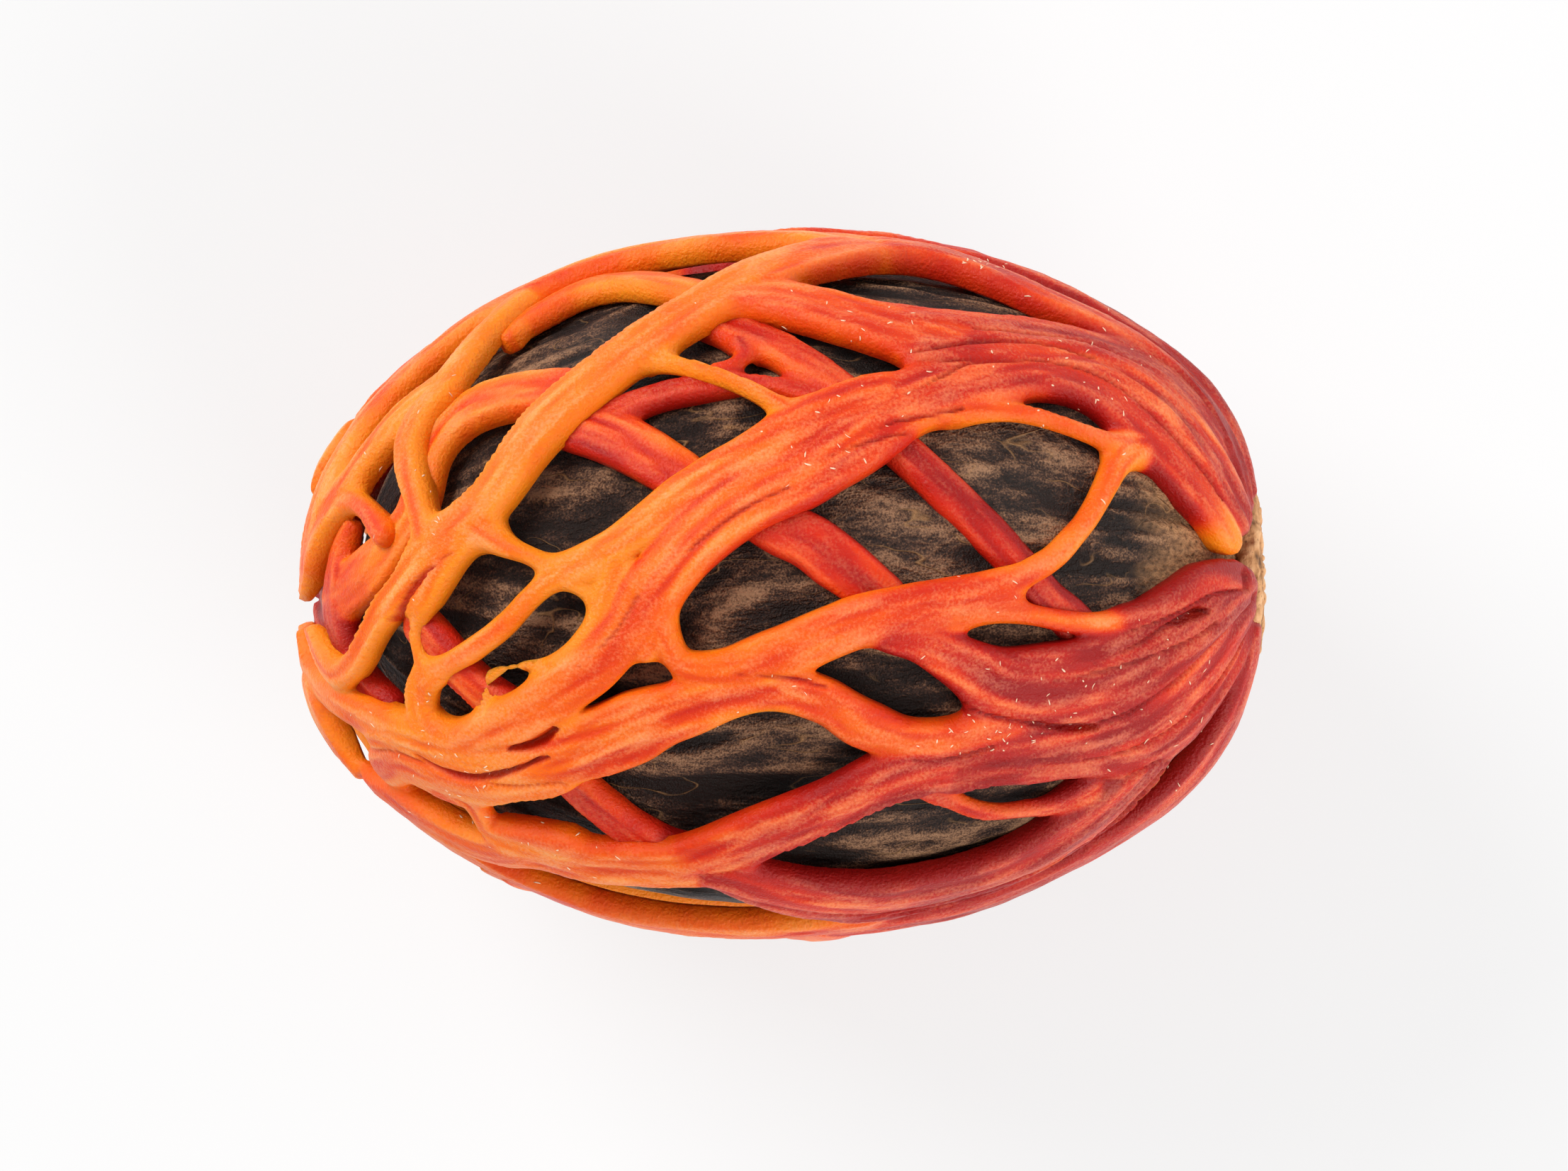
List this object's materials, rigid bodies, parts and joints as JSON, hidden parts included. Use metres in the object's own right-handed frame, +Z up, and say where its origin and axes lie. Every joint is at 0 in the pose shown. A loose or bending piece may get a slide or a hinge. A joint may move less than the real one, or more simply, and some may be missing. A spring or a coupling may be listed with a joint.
{
  "type": "whole nutmeg with mace",
  "caption": "Whole nutmeg in its dark woody shell, wrapped in a lacy net of orange-red mace strands that meet round the corky scar at one end; it lies on its side.",
  "frame": {"origin": "centre of the bounding box's bottom face, on the flat spot that the nutmeg rests on", "axes": "+X along the long axis towards the corky scar end, +Z up, away from the flat spot, +Y across the girth"},
  "size_m": [0.0324, 0.024, 0.0235],
  "materials": {
    "shell": "dark brown, furrowed woody shell, faintly glossy, with thin golden-tan veins and a pitted tan corky scar",
    "mace": "smooth, finely wrinkled, slightly waxy dried aril, crimson at the scar end turning orange and yellow-orange at the tips"
  },
  "bodies": {
    "root": {"seed": "shell", "mace": "mace"}
  },
  "joints": []
}
